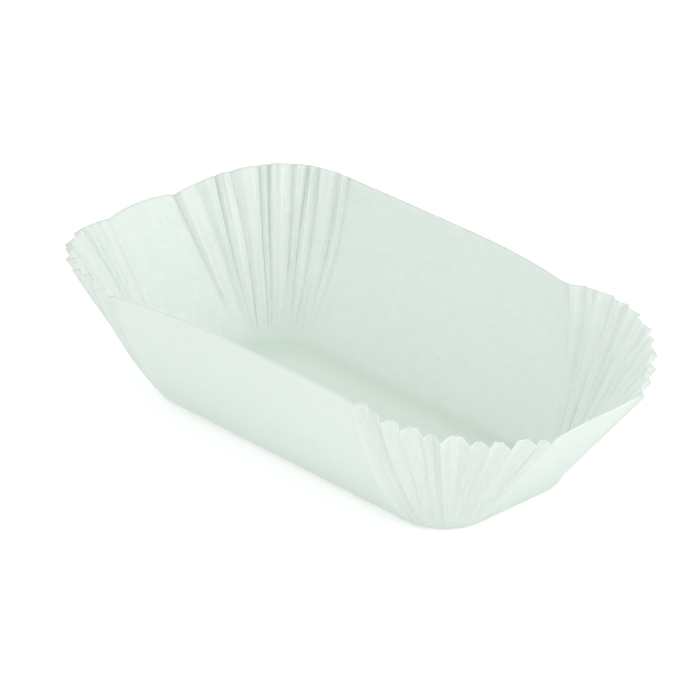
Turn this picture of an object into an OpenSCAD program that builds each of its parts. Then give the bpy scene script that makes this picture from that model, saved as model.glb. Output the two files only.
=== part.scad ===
// Oblong paper baking cup, folded from one thin sheet.
// A flat bottom turns through a small fold into two long walls and two end walls.
// Each corner gathers the spare paper in a fan of upright pleats.
// Millimetres, +Z up, the long side along X.
// The origin is the middle of the underside.

/* [Bottom] */
// Length of the flat bottom
bottom_l = 99; // [75:1:140]
// Width of the flat bottom
bottom_w = 39.5; // [28:0.5:70]
// Radius of the bottom's corners
bottom_corner_r = 9; // [6:0.5:11]

/* [Walls] */
// Paper length of a long wall from bottom to rim
long_slant = 43; // [30:0.5:60]
// Paper length of an end wall from bottom to rim
end_slant = 41; // [30:0.5:60]
// Paper length of a corner from bottom to rim
corner_slant = 43.5; // [30:0.5:60]
// Lean of a long wall out of the upright, in degrees
long_lean = 25.5; // [14:0.5:40]
// Lean of an end wall out of the upright, in degrees
end_lean = 37.5; // [20:0.5:50]
// Lean of a corner out of the upright, in degrees
corner_lean = 30.5; // [18:0.5:40]
// Extra height of the rim at the middle of a long wall
long_crown = 0.2; // [0:0.1:3]
// Extra height of the rim at the middle of an end wall
end_crown = 1.3; // [0:0.1:3]
// Outward bulge of a long wall at half its height
long_bulge = 2.7; // [0:0.1:4]
// Inward hollow of a corner at half its height
corner_hollow = 0.6; // [0:0.1:2]
// Thickness of the paper
paper_t = 0.1; // [0.08:0.02:0.3]

/* [Fold at the bottom] */
// Radius of the fold under the flat walls
fold_r = 3.2; // [2:0.2:8]
// Radius of the fold under the corners
corner_fold_r = 3.4; // [2:0.2:8]

/* [Pleats] */
// Pleats in each corner
pleats = 10; // [6:1:13]
// Depth of a pleat at the rim
pleat_depth = 2; // [0.8:0.1:3]
// Height above the bottom at which the lowest pleats start
pleat_foot = 2; // [1:0.5:6]
// Spread of the heights at which the pleats start
pleat_foot_spread = 5; // [0:0.5:10]
// Sideways slump of the pleats at the rim
pleat_slump = 0.4; // [0:0.1:1.2]
// Sideways bow of the creases at half their height
pleat_bow = 0.7; // [0:0.1:1.2]
// Unevenness of the pleats' width and depth
pleat_unevenness = 0.3; // [0:0.05:0.45]
// Width of the turn from a flat wall into its first pleat
pleat_turn = 1.6; // [1:0.1:3]

/* [Hidden] */

// The corners run front right, back right, back left, front left.
side_x = [1, 1, -1, -1];
side_y = [-1, 1, 1, -1];
// Small differences of this cup's four corners, in degrees and millimetres
corner_lean_off = [2.5, -3.5, -0.5, -0.5];
long_edge_lean_off = [0, -5, 0.5, 4];
end_edge_lean_off = [0.5, -1.5, 2, -2];
long_edge_shift = [0, 9.3, -4.8, 2.2];
end_edge_shift = [2.4, 7, 1.3, 0.9];

// Straight half-lengths of the bottom's outline between its corner arcs
flat_x = bottom_l / 2 - bottom_corner_r;
flat_y = bottom_w / 2 - bottom_corner_r;

// Columns of points around the cup and rows of points up its walls
per_pleat = 6;
long_steps = 4;
end_steps = 2;
fan_steps = pleats * per_pleat;
row_at = [0, 0.028, 0.056, 0.085, 0.14, 0.25, 0.4, 0.55, 0.75, 1];
rows = len(row_at);

function wave(k, seed) = (sin(137 * k + 71 * seed) + sin(211 * k + 29 * seed)) / 2;
function through(first, middle, last, v) =
    (1 - v) * (1 - v) * first
    + 2 * v * (1 - v) * (2 * middle - (first + last) / 2)
    + v * v * last;

// Place of crease k along a fan, from 0 at the long wall to 1 at the end wall
function crease_at(k, c) =
    k <= 0 ? 0 : k >= pleats ? 1 : (k + pleat_unevenness * wave(k, c)) / pleats;
// Depth of crease k toward the outside, as a share of half the pleat depth
function crease_out(k, c) =
    (k == 0 || k == pleats ? 0.6 : 1) * (1 + pleat_unevenness * wave(k + 7, c + 3));
// Each pleat has two ridges toward the inside, with a flat strip between them.
// Place of ridge j between the pleat's creases, and its depth as a share
function ridge_at(k, c, j) =
    (j == 1 ? 0.3 : 0.68) + 0.4 * pleat_unevenness * wave(k + j, c + 4 * j);
function ridge_in(k, c, j) = 1 + pleat_unevenness * wave(k + 3 * j, c + 5 * j);
// Height above the bottom at which pleat k starts
function pleat_start(k, c) = pleat_foot + pleat_foot_spread * (1 + wave(k + 5, c + 9)) / 2;
// Sideways bow of crease k at half its height, none at the two edges of a fan
function crease_bow(k, c) = k <= 0 || k >= pleats ? 0 : pleat_bow * wave(k + 9, c + 2);

// One ruling of the sheet: base point, outward and sideways directions, lean,
// paper length, sideways shift at the rim, fold radius, bulge, pleat offset,
// pleat slide, pleat bow, pleat start
function ruling(x, y, nx, ny, tx, ty, lean, slant, shift, r, bulge, out, slide, bow, start) =
    [[x, y], [nx, ny], [tx, ty], lean, slant, shift, r, bulge, out, slide, bow, start];

// Half of a long wall, from its middle at f = 0 to its edge at f = 1
function long_ruling(c, f) = ruling(
    side_x[c] * flat_x * f, side_y[c] * bottom_w / 2,
    0, side_y[c], side_x[c], 0,
    long_lean + long_edge_lean_off[c] * f * f,
    long_slant + long_crown * (1 - f * f),
    -long_edge_shift[c] * f, fold_r, long_bulge, 0, 0, 0, 0);

// Half of an end wall, from its middle at f = 0 to its edge at f = 1
function end_ruling(c, f) = ruling(
    side_x[c] * bottom_l / 2, side_y[c] * flat_y * f,
    side_x[c], 0, 0, -side_y[c],
    end_lean + end_edge_lean_off[c] * f * f,
    end_slant + end_crown * (1 - f * f),
    -end_edge_shift[c] * f, fold_r, 0, 0, 0, 0, 0);

// The pleated fan of a corner: column i of pleat k
function fan_ruling(c, k, i) =
    let (
        u = lookup(i, [[0, 0], [2, ridge_at(k, c, 1)], [4, ridge_at(k, c, 2)], [6, 1]]),
        v = crease_at(k, c) * (1 - u) + crease_at(k + 1, c) * u,
        wide = (crease_at(k + 1, c) - crease_at(k, c)) * pleats,
        turn = 90 * v,
        nx = side_x[c] * sin(turn),
        ny = side_y[c] * cos(turn),
        tx = side_x[c] * cos(turn),
        ty = -side_y[c] * sin(turn),
        inward = 0.2 + 0.8 * wide,
        out = lookup(i, [
            [0, crease_out(k, c)],
            [2, -ridge_in(k, c, 1) * inward],
            [4, -ridge_in(k, c, 2) * inward],
            [6, crease_out(k + 1, c)]])
    )
    ruling(
        side_x[c] * flat_x + bottom_corner_r * nx,
        side_y[c] * flat_y + bottom_corner_r * ny,
        nx, ny, tx, ty,
        through(long_lean + long_edge_lean_off[c], corner_lean + corner_lean_off[c],
            end_lean + end_edge_lean_off[c], v),
        through(long_slant, corner_slant, end_slant, v),
        -long_edge_shift[c] * (1 - v) * (1 - v) - end_edge_shift[c] * v * v,
        fold_r + (corner_fold_r - fold_r) * 4 * v * (1 - v),
        through(long_bulge, -corner_hollow, 0, v),
        out * pleat_depth / 2,
        pleat_slump * wide * (1 + wave(k, c + 1)) * lookup(i, [[0, 0], [2, 1], [4, 1], [6, 0]]),
        crease_bow(k, c) * (1 - u) + crease_bow(k + 1, c) * u,
        pleat_start(k, c));

// The point at the share t of a ruling's paper length
function sheet_point(g, t) =
    let (
        top = 90 - g[3],
        s = g[4] * t,
        bend = min(s / g[6] * 180 / PI, top),
        rest = max(s - g[6] * top * PI / 180, 0),
        straight = sqrt(1 - g[5] * g[5] / (g[4] * g[4])),
        pleat = max(s - g[11], 0) / (g[4] - g[11]),
        offset = g[8] * pleat + g[7] * 4 * t * (1 - t) * sin(bend),
        away = (g[6] * sin(bend) + rest * cos(top)) * straight + offset * sin(bend),
        up = (g[6] * (1 - cos(bend)) + rest * sin(top)) * straight - offset * cos(bend),
        along = g[5] * t + g[9] * pleat + g[10] * 4 * pleat * (1 - pleat)
    )
    [
        g[0][0] + g[1][0] * away + g[2][0] * along,
        g[0][1] + g[1][1] * away + g[2][1] * along,
        up
    ];

// Shares of a half wall at which its columns stand, with the last one at the turn
function long_shares() =
    [for (i = [1:long_steps]) (flat_x - pleat_turn) / flat_x * i / long_steps];
function end_shares() =
    [for (i = [1:end_steps]) (flat_y - pleat_turn) / flat_y * i / end_steps];
function fan(c) = concat(
    [for (k = [0:pleats - 1]) for (i = [0:per_pleat - 1]) fan_ruling(c, k, i)],
    [fan_ruling(c, pleats - 1, per_pleat)]);
// One quarter of the sheet, from the long wall's middle to just short of the end wall's
function quarter(c) = concat(
    [long_ruling(c, 0)],
    [for (f = long_shares()) long_ruling(c, f)],
    fan(c),
    [for (i = [end_steps - 1:-1:0]) end_ruling(c, end_shares()[i])],
    [end_ruling(c, 0)]);
function reversed(list) = [for (i = [len(list) - 1:-1:0]) list[i]];
function without_last(list) = [for (i = [0:len(list) - 2]) list[i]];

// The whole ring of rulings, anticlockwise seen from above
ring = concat(
    without_last(quarter(0)),
    without_last(reversed(quarter(1))),
    without_last(quarter(2)),
    without_last(reversed(quarter(3))));
columns = len(ring);

outside = [for (t = row_at) [for (g = ring) sheet_point(g, t)]];

// The inner skin lies one paper thickness inward, halfway between the two faces at a crease
function unit(v) = v / norm(v);
function sheet_normal(j, i) = unit(cross(
    outside[min(j + 1, rows - 1)][i] - outside[max(j - 1, 0)][i],
    unit(outside[j][(i + 1) % columns] - outside[j][i])
    + unit(outside[j][i] - outside[j][(i + columns - 1) % columns])));
inside = [for (j = [0:rows - 1]) [for (i = [0:columns - 1])
    outside[j][i] + paper_t * (j == 0 ? [0, 0, 1] : sheet_normal(j, i))]];

function at(skin, j, i) = (skin * rows + j) * columns + i % columns;
function flatten(rows_of_points) = [for (r = rows_of_points) for (p = r) p];

module baking_cup() {
    color("honeydew")
        polyhedron(
            points = concat(flatten(outside), flatten(inside), [[0, 0, 0], [0, 0, paper_t]]),
            faces = concat(
                [for (i = [0:columns - 1]) [2 * rows * columns, at(0, 0, i), at(0, 0, i + 1)]],
                [for (i = [0:columns - 1]) [2 * rows * columns + 1, at(1, 0, i + 1), at(1, 0, i)]],
                [for (j = [0:rows - 2]) for (i = [0:columns - 1])
                    [at(0, j, i), at(0, j + 1, i), at(0, j + 1, i + 1)]],
                [for (j = [0:rows - 2]) for (i = [0:columns - 1])
                    [at(0, j, i), at(0, j + 1, i + 1), at(0, j, i + 1)]],
                [for (j = [0:rows - 2]) for (i = [0:columns - 1])
                    [at(1, j, i), at(1, j + 1, i + 1), at(1, j + 1, i)]],
                [for (j = [0:rows - 2]) for (i = [0:columns - 1])
                    [at(1, j, i), at(1, j, i + 1), at(1, j + 1, i + 1)]],
                [for (i = [0:columns - 1])
                    [at(0, rows - 1, i), at(1, rows - 1, i), at(1, rows - 1, i + 1)]],
                [for (i = [0:columns - 1])
                    [at(0, rows - 1, i), at(1, rows - 1, i + 1), at(0, rows - 1, i + 1)]]),
            convexity = 20);
}

baking_cup();
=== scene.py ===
"""Oblong paper baking cup on a white table, in soft daylight.

The sheet is worked out by one node tree with the same rule and sizes as the model's solid:
a flat bottom, a soft fold, smooth walls and a fan of pleats in each corner.
Sizes of the sheet are millimetres, as in the solid; everything placed in the scene is metres.
"""

import math

import bpy
from mathutils import Matrix, Vector


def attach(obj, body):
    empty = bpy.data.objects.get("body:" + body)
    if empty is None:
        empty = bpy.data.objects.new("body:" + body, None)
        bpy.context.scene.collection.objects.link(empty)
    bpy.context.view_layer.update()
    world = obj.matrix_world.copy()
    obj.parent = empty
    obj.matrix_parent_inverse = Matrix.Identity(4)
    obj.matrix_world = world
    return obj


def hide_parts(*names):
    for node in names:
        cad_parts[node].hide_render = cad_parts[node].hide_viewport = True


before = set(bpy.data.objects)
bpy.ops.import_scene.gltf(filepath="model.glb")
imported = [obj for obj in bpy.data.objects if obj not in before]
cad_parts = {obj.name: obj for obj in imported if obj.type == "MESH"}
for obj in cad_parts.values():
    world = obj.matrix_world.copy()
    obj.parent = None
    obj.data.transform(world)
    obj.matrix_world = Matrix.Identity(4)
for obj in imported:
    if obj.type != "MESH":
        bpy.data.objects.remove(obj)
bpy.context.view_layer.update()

MM = 0.001
DEGREE = math.radians(1.0)
RADIAN = math.degrees(1.0)

# Sizes of the cup, as in the solid
CUP = {
    "Bottom Length": 99.0,
    "Bottom Width": 39.5,
    "Bottom Corner Radius": 9.0,
    "Long Slant": 43.0,
    "End Slant": 41.0,
    "Corner Slant": 43.5,
    "Long Lean": 25.5,
    "End Lean": 37.5,
    "Corner Lean": 30.5,
    "Long Crown": 0.2,
    "End Crown": 1.3,
    "Long Bulge": 2.7,
    "Corner Hollow": 0.6,
    "Paper Thickness": 0.1,
    "Fold Radius": 3.2,
    "Corner Fold Radius": 3.4,
    "Pleats": 10.0,
    "Pleat Depth": 2.0,
    "Pleat Foot": 2.0,
    "Pleat Foot Spread": 5.0,
    "Pleat Slump": 0.4,
    "Pleat Bow": 0.7,
    "Pleat Unevenness": 0.3,
    "Pleat Turn": 1.6,
    "Minor Folds": 0.13,
}
# Differences of the four corners: front right, back right, back left, front left
CORNER_LEAN_OFF = (2.5, -3.5, -0.5, -0.5)
LONG_EDGE_LEAN_OFF = (0.0, -5.0, 0.5, 4.0)
END_EDGE_LEAN_OFF = (0.5, -1.5, 2.0, -2.0)
LONG_EDGE_SHIFT = (0.0, 9.3, -4.8, 2.2)
END_EDGE_SHIFT = (2.4, 7.0, 1.3, 0.9)

# Shares of a pleat's width at which its two ridges lie, and how far they wander with unevenness
RIDGE_PLACES = (0.3, 0.68)
RIDGE_WANDER = 0.4
# Depth of a fan's first and last crease, as a share of the others'
END_CREASE_DEPTH = 0.6
# Share of a ridge's depth that doesn't follow the width of its pleat
FIXED_RIDGE_DEPTH = 0.2
# Degrees per column and per corner of the two waves that make the minor folds
MINOR_WAVES = ((97.0, 40.0), (161.0, 75.0))
# Power by which the pleats set in beside a flat wall
TURN_POWER = 1.5

# Columns of the sheet around a quarter of the cup; those of a pleat make three strips
STRIP_COLUMNS = 5
PLEAT_COLUMNS = 3 * STRIP_COLUMNS
LONG_COLUMNS = 22
END_COLUMNS = 8
# Rows from the middle of the bottom to its edge, and from there to the rim
BOTTOM_ROWS = 12
WALL_ROWS = 52
# Power by which the wall's rows stand closer near the bottom
ROW_POWER = 1.15
# Keeps a rounding error from lowering a whole number by one
NUDGE = 0.0001
# Points closer than this are one point, in metres
SAME_POINT = 0.000002

# Height above the bottom from which the paper counts as gathered, and its rise per millimetre
GATHER_FOOT = 1.0
GATHER_RISE = 0.12
# Width of the whitening and painted highlight beside a crease and beside a ridge, in columns
CREASE_WHITE = 2.4
RIDGE_WHITE = 1.8

# Colours of the paper: thin and thick pulp, painted bounce light on the bottom, painted shade
# inside the fold, pressing-whitened folds with painted highlight, and light that has come through
THIN_PULP = (0.85, 0.9, 0.865)
THICK_PULP = (0.935, 0.965, 0.945)
BOTTOM_PAINTED_BOUNCE = (0.86, 0.97, 0.88)
FOLD_PAINTED_SHADE = (0.79, 0.88, 0.81)
PRESSED_AND_HIGHLIGHT = (0.99, 0.995, 0.99)
THROUGH_TINT = (0.908, 0.968, 0.925)
# Noise over the flat sheet: scale per metre, detail, roughness and distortion
BROAD_CLOUDS = (280.0, 2.0, 0.5, 0.0)
CLOUDS = (800.0, 3.0, 0.65, 0.6)
FIBRES = (2100.0, 2.0, 0.6, 1.2)
# Noise over a fan: stretch around and up the fan, detail, roughness and distortion
WRINKLES = ((62.0, 55.0, 1.0), 3.0, 0.6, 0.25)
DENTS = ((16.0, 620.0, 1.0), 1.0, 0.5, 0.4)
DENTED_PATCHES = ((9.0, 110.0, 1.0), 0.0, 0.5, 0.0)
# Weight of each noise in the pulp's mottling
BROAD_WEIGHT = 1.5
CLOUD_WEIGHT = 2.6
FIBRE_WEIGHT = 1.5
# How sharply fold lines and dented patches stand out of their noise, and where patches begin
FOLD_LINE_SHARPNESS = 7.0
PATCH_SHARPNESS = 12.0
PATCH_THRESHOLD = 0.1
# How fast the bottom's look, with its painted bounce light, fades past its edge, per metre; middle
# of the painted shade in the fold round it, in metres up the wall, and how fast that fades toward
# the bottom and up the wall
BOTTOM_FADE = 400.0
FOLD_MIDDLE = 0.001
FOLD_FADE_IN = 150.0
FOLD_FADE_OUT = 300.0
# How far the bottom takes its painted bounce light and the fold its painted shade, and how far fold
# lines take pressing white with painted highlight and the cut edge painted light
BOTTOM_BOUNCE_SHARE = 0.7
FOLD_SHADE_SHARE = 0.9
FOLD_LINE_SHARE = 0.4
CUT_PAINTED_LIGHT_SHARE = 0.8
ROUGHNESS = 0.46
ROUGHNESS_BY_CLOUD = 0.3
# Heights of the paper's fine relief, as shares of its unit in metres
RELIEF_UNIT = 0.0001
WRINKLE_RELIEF = 1.1
FOLD_LINE_RELIEF = 0.3
DENT_RELIEF = 4.0
CLOUD_RELIEF = 0.12
FIBRE_RELIEF = 0.07
# Share of the light that the paper passes on, and what the cut edge, the bottom and the pulp change
PASSED = 0.47
PASSED_LESS_AT_CUT = 0.4
PASSED_LESS_AT_BOTTOM = 0.17
PASSED_BY_PULP = 0.12

# Table: half its width and its depth under the cup, in metres, its grey, and its lift to white
TABLE_HALF = 6.0
TABLE_DROP = 0.0001
TABLE_GREY = (0.94, 0.94, 0.94)
TABLE_LIFT = 0.3
WHITE = (1.0, 1.0, 1.0)

# Strength of the white surroundings, and the lamps: place and size in metres, power in watts
ROOM_STRENGTH = 0.845
LAMPS = {
    "side_lamp": ((0.66, 0.24, 0.38), 0.35, 1.0),
    "front_lamp": ((0.55, -0.56, 0.12), 0.3, 0.55),
    "low_lamp": ((0.74, -0.24, 0.15), 0.25, 0.26),
    "top_lamp": ((-0.12, 0.06, 0.8), 0.35, 0.9),
}
LAMP_AIM = (0.0, 0.0, 0.02)

# Camera: angles in degrees, distance in metres, lens and sensor in millimetres
CAMERA_AROUND = 46.286
CAMERA_ABOVE = 28.047
CAMERA_ROLL = 0.239
CAMERA_DISTANCE = 1.30414
CAMERA_LENS = 288.0
CAMERA_SENSOR = 36.0
CAMERA_REACH = 50.0
# The camera aims a little left of and above the origin, in pixels of a frame 700 pixels wide
FOCAL_PIXELS = 5600
AIM_RIGHT = -6.93
AIM_UP = 81.11


class Wire:
    """One output of a node, on which sums and products are written as Python."""

    def __init__(self, tree, socket):
        self.tree = tree
        self.socket = socket

    def math(self, operation, *others):
        return self.tree.node("ShaderNodeMath", {"operation": operation}, [self, *others])

    def __add__(self, other):
        return self.math("ADD", other)

    __radd__ = __add__

    def __sub__(self, other):
        return self.math("SUBTRACT", other)

    def __rsub__(self, other):
        return self.tree.node("ShaderNodeMath", {"operation": "SUBTRACT"}, [other, self])

    def __mul__(self, other):
        return self.math("MULTIPLY", other)

    __rmul__ = __mul__

    def __truediv__(self, other):
        return self.math("DIVIDE", other)

    def __rtruediv__(self, other):
        return self.tree.node("ShaderNodeMath", {"operation": "DIVIDE"}, [other, self])

    def __neg__(self):
        return self.math("MULTIPLY", -1.0)

    def __pow__(self, power):
        return self.math("POWER", power)

    def __mod__(self, other):
        return self.math("FLOORED_MODULO", other)

    def __abs__(self):
        return self.math("ABSOLUTE")

    def floor(self):
        return self.math("FLOOR")

    def sqrt(self):
        return self.math("SQRT")

    def least(self, other):
        return self.math("MINIMUM", other)

    def most(self, other):
        return self.math("MAXIMUM", other)

    def held(self):
        """The value, kept between 0 and 1."""
        return self.most(0.0).least(1.0)

    def above(self, other):
        return self.math("GREATER_THAN", other)

    def equals(self, other):
        return self.math("COMPARE", other, 0.5)

    def sin(self):
        """Sine of an angle in degrees."""
        return (self * DEGREE).math("SINE")

    def cos(self):
        """Cosine of an angle in degrees."""
        return (self * DEGREE).math("COSINE")

    def eased(self):
        """Smooth step of a value from 0 to 1."""
        inside = self.held()
        return inside * inside * (3.0 - 2.0 * inside)

    def beside(self, output):
        """Another output of the same node."""
        return Wire(self.tree, self.socket.node.outputs[output])


class Tree:
    """A node tree whose every node is made by one method."""

    def __init__(self, tree):
        self.tree = tree

    def plug(self, socket, value):
        """Links a wire, or each wire of a list, to a socket, or sets the socket's own value."""
        if isinstance(value, list):
            for wire in value:
                self.plug(socket, wire)
        elif isinstance(value, Wire):
            self.tree.links.new(value.socket, socket)
        elif socket.type == "RGBA":
            socket.default_value = (*value, 1.0)
        else:
            socket.default_value = value

    def node(self, kind, settings=None, inputs=(), output=0):
        """Makes a node: its settings first, then its sockets' values or links."""
        made = self.tree.nodes.new(kind)
        for name, value in (settings or {}).items():
            setattr(made, name, value)
        for name, value in inputs.items() if isinstance(inputs, dict) else enumerate(inputs):
            self.plug(made.inputs[name], value)
        return Wire(self, made.outputs[output]) if made.outputs else None


def emptied_tree(owner):
    """The node tree of a material or a world, with nothing in it."""
    owner.use_nodes = True
    owner.node_tree.nodes.clear()
    return Tree(owner.node_tree)


def in_scene(name, data):
    """New object in the scene's collection."""
    made = bpy.data.objects.new(name, data)
    bpy.context.scene.collection.objects.link(made)
    return made


def wave(k, seed):
    """Uneven number between -1 and 1 for pleat k, the same as in the solid."""
    return ((137.0 * k + 71.0 * seed).sin() + (211.0 * k + 29.0 * seed).sin()) * 0.5


def through(first, middle, last, v):
    """Smooth run from first to last by way of middle."""
    rest = 1.0 - v
    middle = 2.0 * middle - (first + last) * 0.5
    return rest * rest * first + 2.0 * v * rest * middle + v * v * last


def hump(height, share):
    """Rises from 0 to the height at half the share, and falls back to 0."""
    return height * 4.0 * share * (1.0 - share)


def by_corner(corner, values):
    """The value that belongs to a corner, numbered from 0."""
    return sum(corner.equals(float(number)) * value for number, value in enumerate(values))


def sheet_tree():
    """Geometry tree that lays out the cup's sheet and gives it its thickness."""
    group = bpy.data.node_groups.new("baking_cup_sheet", "GeometryNodeTree")
    group.interface.new_socket("Geometry", in_out="INPUT", socket_type="NodeSocketGeometry")
    for name in CUP:
        group.interface.new_socket(name, in_out="INPUT", socket_type="NodeSocketFloat")
    group.interface.new_socket("Paper", in_out="INPUT", socket_type="NodeSocketMaterial")
    group.interface.new_socket("Geometry", in_out="OUTPUT", socket_type="NodeSocketGeometry")
    tree = Tree(group)
    entry = tree.node("NodeGroupInput").socket.node
    size = {socket.name: Wire(tree, socket) for socket in entry.outputs if socket.name}

    pleats = size["Pleats"]
    uneven = size["Pleat Unevenness"]
    radius = size["Bottom Corner Radius"]
    flat_x = size["Bottom Length"] / 2.0 - radius
    flat_y = size["Bottom Width"] / 2.0 - radius

    # Place of each point on the sheet: column around the cup, row from the middle outwards.
    # In every second corner the columns are counted backwards, so that each quarter runs from
    # its long wall over its fan to its end wall.
    fan_columns = pleats * float(PLEAT_COLUMNS)
    quarter_columns = fan_columns + float(LONG_COLUMNS + END_COLUMNS)
    all_columns = quarter_columns * 4.0
    all_rows = BOTTOM_ROWS + WALL_ROWS
    grid = tree.node("GeometryNodeMeshGrid", {}, {
        "Size X": 1.0, "Size Y": 1.0,
        "Vertices X": all_columns + 1.0, "Vertices Y": all_rows + 1})
    index = tree.node("GeometryNodeInputIndex")
    column = (index / (all_rows + 1.0) + NUDGE).floor()
    row = index - column * (all_rows + 1.0)
    column = column % all_columns
    corner = (column / quarter_columns + NUDGE).floor()
    local = column - corner * quarter_columns
    odd = corner % 2.0
    local = local * (1.0 - odd) + (quarter_columns - local) * odd
    side_x = 1.0 - 2.0 * corner.above(1.5)
    side_y = 2.0 * (corner.equals(1.0) + corner.equals(2.0)) - 1.0

    # Share of the way along the long wall, the fan and the end wall
    along_long = (local / float(LONG_COLUMNS)).held()
    along_end = ((quarter_columns - local) / float(END_COLUMNS)).held()
    in_fan = (local - float(LONG_COLUMNS)).most(0.0).least(fan_columns) / float(PLEAT_COLUMNS)
    pleat = (in_fan + NUDGE).floor().least(pleats - 1.0)
    # Columns stand closer near a crease, so that creases stay crisp: the pleat has three strips,
    # from its first crease to a ridge, to a second ridge and to its last crease
    place_in = (in_fan - pleat) * float(PLEAT_COLUMNS)
    first_ridge = float(STRIP_COLUMNS)
    second_ridge = 2.0 * first_ridge
    strip = [((place_in - first) / float(STRIP_COLUMNS)).eased()
             for first in (0.0, first_ridge, second_ridge)]

    def inner_crease(k):
        """1 for a crease within the fan, 0 for its first and last."""
        return k.above(0.5) * (pleats - 0.5).above(k)

    def crease_at(k):
        return (k + inner_crease(k) * uneven * wave(k, corner)) / pleats

    def crease_out(k):
        depth = END_CREASE_DEPTH + (1.0 - END_CREASE_DEPTH) * inner_crease(k)
        return depth * (1.0 + uneven * wave(k + 7.0, corner + 3.0))

    def crease_bow(k):
        return inner_crease(k) * size["Pleat Bow"] * wave(k + 9.0, corner + 2.0)

    def ridge_at(j):
        wander = RIDGE_WANDER * uneven * wave(pleat + float(j), corner + 4.0 * j)
        return RIDGE_PLACES[j - 1] + wander

    def ridge_in(j):
        return 1.0 + uneven * wave(pleat + 3.0 * j, corner + 5.0 * j)

    def over_strips(values):
        """Value along the pleat that has the given values at its creases and ridges."""
        total = values[0]
        for done, low, high in zip(strip, values, values[1:]):
            total = done * (high - low) + total
        return total

    def turn_in(half, along):
        """0 on a flat wall, rising to 1 at its last crease over the width of the turn."""
        width = size["Pleat Turn"]
        return ((half * along - half + width) / width).held() ** TURN_POWER

    # Place in the pleat, from 0 to 1, and in the fan; how far the point stands out, slides
    # sideways and follows a bowed crease; and the height at which its pleat starts
    before, after = crease_at(pleat), crease_at(pleat + 1.0)
    u = over_strips([0.0, ridge_at(1), ridge_at(2), 1.0])
    v = before * (1.0 - u) + after * u
    wide = (after - before) * pleats
    inward = -(FIXED_RIDGE_DEPTH + (1.0 - FIXED_RIDGE_DEPTH) * wide)
    relief = over_strips([
        crease_out(pleat), inward * ridge_in(1), inward * ridge_in(2), crease_out(pleat + 1.0)])
    # Minor folds between the creases, finer than the solid has them
    between = sum(hump(1.0, part) for part in strip)
    minor = sum((step * local + phase * corner).sin() for step, phase in MINOR_WAVES) * between
    in_pleats = turn_in(flat_x, along_long) * turn_in(flat_y, along_end)
    out = (relief * size["Pleat Depth"] * 0.5 + minor * size["Minor Folds"]) * in_pleats
    slump = size["Pleat Slump"] * wide * (1.0 + wave(pleat, corner + 1.0))
    slide = slump * over_strips([0.0, 1.0, 1.0, 0.0])
    bow = crease_bow(pleat) * (1.0 - u) + crease_bow(pleat + 1.0) * u
    spare = size["Pleat Foot Spread"] * (1.0 + wave(pleat + 5.0, corner + 9.0)) / 2.0
    start = size["Pleat Foot"] + spare

    # Lean, paper length, sideways shift, bulge and fold of the wall where the point lies
    long_off = by_corner(corner, LONG_EDGE_LEAN_OFF)
    end_off = by_corner(corner, END_EDGE_LEAN_OFF)
    corner_lean = size["Corner Lean"] + by_corner(corner, CORNER_LEAN_OFF)
    mid_long = 1.0 - along_long * along_long
    mid_end = 1.0 - along_end * along_end
    lean = through(size["Long Lean"] + long_off, corner_lean, size["End Lean"] + end_off, v)
    lean = lean - long_off * mid_long - end_off * mid_end
    slant = through(size["Long Slant"], size["Corner Slant"], size["End Slant"], v)
    slant = slant + size["Long Crown"] * mid_long + size["End Crown"] * mid_end
    shift = -(by_corner(corner, LONG_EDGE_SHIFT) * (1.0 - v) * (1.0 - v) * along_long
              + by_corner(corner, END_EDGE_SHIFT) * v * v * along_end)
    bulge = through(size["Long Bulge"], -size["Corner Hollow"], 0.0, v)
    fold = size["Fold Radius"] + hump(size["Corner Fold Radius"] - size["Fold Radius"], v)

    # The point itself, out over the fold and up the wall
    turn = 90.0 * v
    sine, cosine = turn.sin(), turn.cos()
    spread = (row / float(BOTTOM_ROWS)).held()
    share = ((row - float(BOTTOM_ROWS)) / float(WALL_ROWS)).most(0.0) ** ROW_POWER
    top = 90.0 - lean
    climbed = slant * share
    bend = (climbed / fold * RADIAN).least(top)
    rest = (climbed - fold * top * DEGREE).most(0.0)
    straight = (1.0 - shift * shift / (slant * slant)).sqrt()
    risen = (climbed - start).most(0.0) / (slant - start)
    offset = out * risen + hump(bulge, share) * bend.sin()
    away = (fold * bend.sin() + rest * top.cos()) * straight + offset * bend.sin()
    up = (fold * (1.0 - bend.cos()) + rest * top.sin()) * straight - offset * bend.cos()
    along = shift * share + slide * risen + hump(bow, risen)
    base_x = (flat_x * along_long + radius * sine) * spread
    base_y = (flat_y * along_end + radius * cosine) * spread
    x = side_x * (base_x + sine * away + cosine * along)
    y = side_y * (base_y + cosine * away - sine * along)
    place = tree.node("ShaderNodeCombineXYZ", {}, [x * MM, y * MM, up * MM])

    # Where the point lay on the flat sheet before it was folded, for the paper's grain
    flat = tree.node("ShaderNodeCombineXYZ", {}, [
        side_x * (base_x + sine * climbed) * MM, side_y * (base_y + cosine * climbed) * MM, 0.0])
    # How far the paper is gathered here, and how close it lies to a crease or to a ridge
    gathered = ((climbed - GATHER_FOOT) * GATHER_RISE).held() * in_pleats
    strength = gathered * (0.8 + 0.2 * wave(pleat * 3.0 + 1.0, corner))
    to_crease = place_in.least(float(PLEAT_COLUMNS) - place_in)
    to_ridge = abs(place_in - first_ridge).least(abs(place_in - second_ridge))
    creased = (1.0 - to_crease / CREASE_WHITE).held() * strength
    ridged = (1.0 - to_ridge / RIDGE_WHITE).held() * strength
    # Place in the fan, and distance up the wall from the bottom's edge, below zero on the bottom
    reach = climbed + (spread - 1.0) * (flat_y + radius)
    across = tree.node("ShaderNodeCombineXYZ", {}, [v + corner * 2.0, reach * MM, 0.0])

    def stored(mesh, name, value, kind="FLOAT", domain="POINT"):
        return tree.node("GeometryNodeStoreNamedAttribute", {"data_type": kind, "domain": domain},
                         {"Geometry": mesh, "Name": name, "Value": value})

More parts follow.
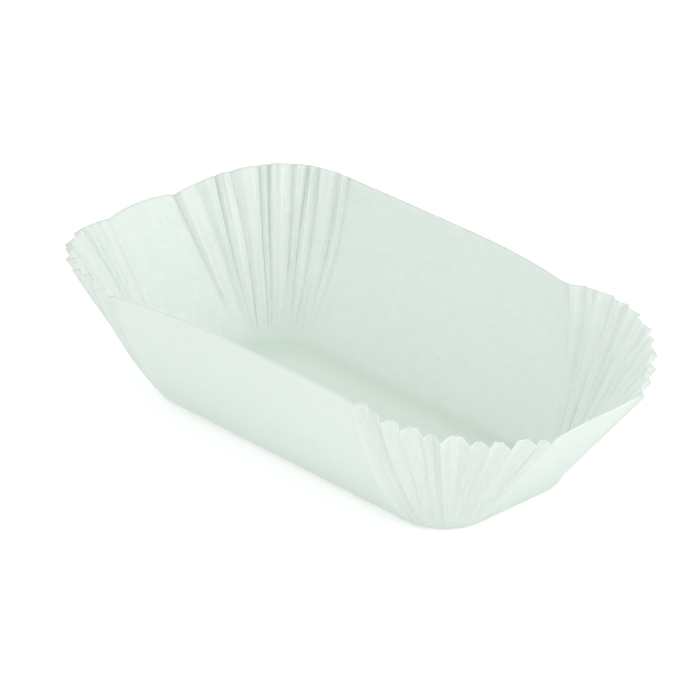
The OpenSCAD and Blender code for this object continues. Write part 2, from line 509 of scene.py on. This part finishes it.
    laid = tree.node("GeometryNodeSetPosition", {}, {"Geometry": grid, "Position": place})
    laid = stored(laid, "flat", flat, "FLOAT_VECTOR")
    laid = stored(laid, "fan", across, "FLOAT_VECTOR")
    laid = stored(laid, "gathered", gathered)
    laid = stored(laid, "creased", creased)
    laid = stored(laid, "ridged", ridged)
    outer = tree.node("GeometryNodeMergeByDistance", {}, {
        "Geometry": laid, "Distance": SAME_POINT})
    lining = tree.node("GeometryNodeFlipFaces", {}, [outer])
    lining = tree.node("GeometryNodeExtrudeMesh", {"mode": "FACES"}, {
        "Mesh": lining, "Offset Scale": size["Paper Thickness"] * MM, "Individual": False})
    edge = lining.beside("Side")
    lining = stored(lining, "inside", 1.0)
    lining = stored(lining, "cut", edge, domain="FACE")
    both = tree.node("GeometryNodeJoinGeometry", {}, [[lining, outer]])
    closed = tree.node("GeometryNodeMergeByDistance", {}, {
        "Geometry": both, "Distance": SAME_POINT})
    smooth = tree.node("GeometryNodeSetShadeSmooth", {"domain": "FACE"}, {
        "Geometry": closed, "Shade Smooth": True})
    # The sheet's cut edge at the rim stays square
    smooth = tree.node("GeometryNodeSetShadeSmooth", {"domain": "FACE"}, {
        "Geometry": smooth, "Selection": edge, "Shade Smooth": False})
    real = tree.node("GeometryNodeRealizeInstances", {}, [smooth])
    painted = tree.node("GeometryNodeSetMaterial", {}, {
        "Geometry": real, "Material": size["Paper"]})
    tree.node("NodeGroupOutput", {}, [painted])
    return group


def paper_material():
    """Thin greaseproof paper: faint mint white, cloudy with fibre, and it lets light through."""
    material = bpy.data.materials.new("greaseproof_paper")
    tree = emptied_tree(material)

    def stored(name, output="Fac"):
        return tree.node("ShaderNodeAttribute", {"attribute_name": name}, output=output)

    def noise(where, scale, detail, roughness, distortion):
        """Noise that varies about zero."""
        return tree.node("ShaderNodeTexNoise", {}, {
            "Vector": where, "Scale": scale, "Detail": detail, "Roughness": roughness,
            "Distortion": distortion}) - 0.5

    def fan_noise(stretch, detail, roughness, distortion):
        """Noise about zero that is stretched along a fan."""
        where = tree.node("ShaderNodeVectorMath", {"operation": "MULTIPLY"}, [fan, stretch])
        return noise(where, 1.0, detail, roughness, distortion)

    def toward(colour, tint, share):
        """The colour, moved toward a tint by a share; the node's third output is its colour."""
        return tree.node("ShaderNodeMix", {"data_type": "RGBA"}, {
            "Factor": share, "A": colour, "B": tint}, output=2)

    flat = stored("flat", "Vector")
    fan = stored("fan", "Vector")
    gathered = stored("gathered")
    inside = stored("inside")
    cut = stored("cut")
    # Folds are whitened on the side on which they stand out: partly whitening by pressing, partly a
    # painted highlight where the fold catches light
    whitened_and_highlit = stored("creased") * (1.0 - inside) + stored("ridged") * inside

    # Clouds of thicker and thinner pulp, flecks of fibre, and fine wrinkles that run up the fans
    broad = noise(flat, *BROAD_CLOUDS)
    cloud = noise(flat, *CLOUDS)
    fibre = noise(flat, *FIBRES)
    wrinkle = fan_noise(*WRINKLES)
    fold_line = (1.0 - abs(wrinkle) * FOLD_LINE_SHARPNESS).held() * gathered
    # Small dents where the gathered paper has buckled, in a few places only
    patch = ((fan_noise(*DENTED_PATCHES) - PATCH_THRESHOLD) * PATCH_SHARPNESS).held()
    dents = fan_noise(*DENTS) * patch * gathered

    # The bottom lies on the table, so it is lit from above only and passes less light
    reach = tree.node("ShaderNodeSeparateXYZ", {}, [fan], output=1)
    bottom = (1.0 - reach * BOTTOM_FADE).held()
    # Painted shade: the fold round the bottom is painted darker on the inside, where shade gathers
    # in the corner
    past_fold = reach - FOLD_MIDDLE
    painted_fold_shade = (1.0 + past_fold * FOLD_FADE_IN).held() * (1.0 - past_fold * FOLD_FADE_OUT).held()
    painted_fold_shade = painted_fold_shade * inside
    # Mottling shows half as strongly on the outside
    mottling = cloud * CLOUD_WEIGHT + broad * BROAD_WEIGHT + fibre * FIBRE_WEIGHT
    pulp = (0.5 + mottling * (0.5 + 0.5 * inside)).held()
    colour = toward(THIN_PULP, THICK_PULP, pulp)
    # Painted light: the bottom is painted greener and lighter, for light that passes through it to
    # the table and back
    colour = toward(colour, BOTTOM_PAINTED_BOUNCE, bottom * BOTTOM_BOUNCE_SHARE)
    colour = toward(colour, FOLD_PAINTED_SHADE, painted_fold_shade * FOLD_SHADE_SHARE)
    # Painted highlight and whitening: folds whitened by pressing, fold lines with a painted
    # highlight, and the cut edge painted lighter against its dark shading
    pressed_and_highlit = (whitened_and_highlit + fold_line * FOLD_LINE_SHARE + cut * CUT_PAINTED_LIGHT_SHARE).held()
    colour = toward(colour, PRESSED_AND_HIGHLIGHT, pressed_and_highlit)
    height = (wrinkle * gathered * WRINKLE_RELIEF + fold_line * FOLD_LINE_RELIEF
              + dents * DENT_RELIEF + cloud * CLOUD_RELIEF + fibre * FIBRE_RELIEF)
    bump = tree.node("ShaderNodeBump", {}, {
        "Strength": 1.0, "Distance": RELIEF_UNIT, "Height": height})
    paper = tree.node("ShaderNodeBsdfPrincipled", {}, {
        "Base Color": colour, "Roughness": ROUGHNESS + ROUGHNESS_BY_CLOUD * cloud, "IOR": 1.5,
        "Specular IOR Level": 0.5, "Normal": bump})
    through_it = tree.node("ShaderNodeBsdfTranslucent", {}, {
        "Color": THROUGH_TINT, "Normal": bump})
    passed = (PASSED - PASSED_LESS_AT_CUT * cut - PASSED_LESS_AT_BOTTOM * bottom
              + PASSED_BY_PULP * (0.5 - pulp) * (1.0 - 0.8 * bottom)).held()
    mixed = tree.node("ShaderNodeMixShader", {}, [passed, paper, through_it])
    tree.node("ShaderNodeOutputMaterial", {}, {"Surface": mixed})
    return material


def make_cup():
    """The folded sheet, worked out by its tree and kept as a plain mesh."""
    group = sheet_tree()
    values = {**CUP, "Paper": paper_material()}
    holder = in_scene("cup_layout", bpy.data.meshes.new("cup_layout"))
    modifier = holder.modifiers.new("sheet", "NODES")
    modifier.node_group = group
    for socket in group.interface.items_tree:
        if socket.in_out == "INPUT" and socket.name in values:
            modifier[socket.identifier] = values[socket.name]
    bpy.context.view_layer.update()
    ready = holder.evaluated_get(bpy.context.evaluated_depsgraph_get())
    mesh = bpy.data.meshes.new_from_object(ready)
    bpy.data.objects.remove(holder)
    mesh.name = "paper_cup_sheet"
    triangles = sum(len(face.vertices) - 2 for face in mesh.polygons)
    print("sheet:", len(mesh.vertices), "points,", triangles, "triangles")
    return in_scene("paper_cup_sheet", mesh)


def floor_material():
    """White table: white to the camera and in reflections, and it keeps the cup's soft shadow."""
    material = bpy.data.materials.new("white_table")
    tree = emptied_tree(material)
    matte = tree.node("ShaderNodeBsdfDiffuse", {}, {"Color": TABLE_GREY})
    lift = tree.node("ShaderNodeEmission", {}, {"Color": WHITE, "Strength": TABLE_LIFT})
    shown = tree.node("ShaderNodeAddShader", {}, [matte, lift])
    path = tree.node("ShaderNodeLightPath", output="Is Camera Ray")
    seen = path.most(path.beside("Is Glossy Ray"))
    mixed = tree.node("ShaderNodeMixShader", {}, [seen, matte, shown])
    tree.node("ShaderNodeOutputMaterial", {}, {"Surface": mixed})
    return material


def make_floor():
    """Square table top, a hair below the cup."""
    half = TABLE_HALF
    corners = [(-half, -half, 0), (half, -half, 0), (half, half, 0), (-half, half, 0)]
    mesh = bpy.data.meshes.new("table_top")
    mesh.from_pydata(corners, [], [(0, 1, 2, 3)])
    mesh.materials.append(floor_material())
    floor = in_scene("table_top", mesh)
    floor.location = (0, 0, -TABLE_DROP)


def make_lights():
    """Even white surroundings and four soft lamps: two beyond the right end, one low in front
    and one above."""
    world = bpy.data.worlds.new("white_room")
    bpy.context.scene.world = world
    tree = emptied_tree(world)
    room = tree.node("ShaderNodeBackground", {}, {"Color": WHITE, "Strength": ROOM_STRENGTH})
    tree.node("ShaderNodeOutputWorld", {}, {"Surface": room})
    for name, (place, size, power) in LAMPS.items():
        data = bpy.data.lights.new(name, "AREA")
        data.shape = "DISK"
        data.size = size
        data.energy = power
        lamp = in_scene(name, data)
        lamp.location = place
        aim = Vector(LAMP_AIM) - Vector(place)
        lamp.rotation_euler = aim.to_track_quat("-Z", "Y").to_euler()


def make_camera():
    """Long lens from the front right, a little above the rim."""
    data = bpy.data.cameras.new("camera")
    data.sensor_width = CAMERA_SENSOR
    data.lens = CAMERA_LENS
    data.clip_end = CAMERA_REACH
    camera = in_scene("camera", data)
    around, height = math.radians(CAMERA_AROUND), math.radians(CAMERA_ABOVE)
    right = Vector((math.cos(around), math.sin(around), 0))
    back = Vector((math.sin(around) * math.cos(height), -math.cos(around) * math.cos(height),
                   math.sin(height)))
    above = back.cross(right)
    place = back * CAMERA_DISTANCE
    sine, cosine = math.sin(math.radians(CAMERA_ROLL)), math.cos(math.radians(CAMERA_ROLL))
    right, above = right * cosine + above * sine, above * cosine - right * sine
    # The view is turned a little so that the cup lies low in the frame, as in the picture
    look = -back + right * (AIM_RIGHT / FOCAL_PIXELS) + above * (AIM_UP / FOCAL_PIXELS)
    look = look.normalized()
    right = (right - look * right.dot(look)).normalized()
    above = right.cross(look)
    turned = Matrix((right, above, -look)).transposed().to_4x4()
    camera.matrix_world = Matrix.Translation(place) @ turned
    bpy.context.scene.camera = camera


scene = bpy.context.scene
scene.view_settings.view_transform = "Standard"

cup = make_cup()
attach(cup, "root")
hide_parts("baking_cup")
make_floor()
make_lights()
make_camera()
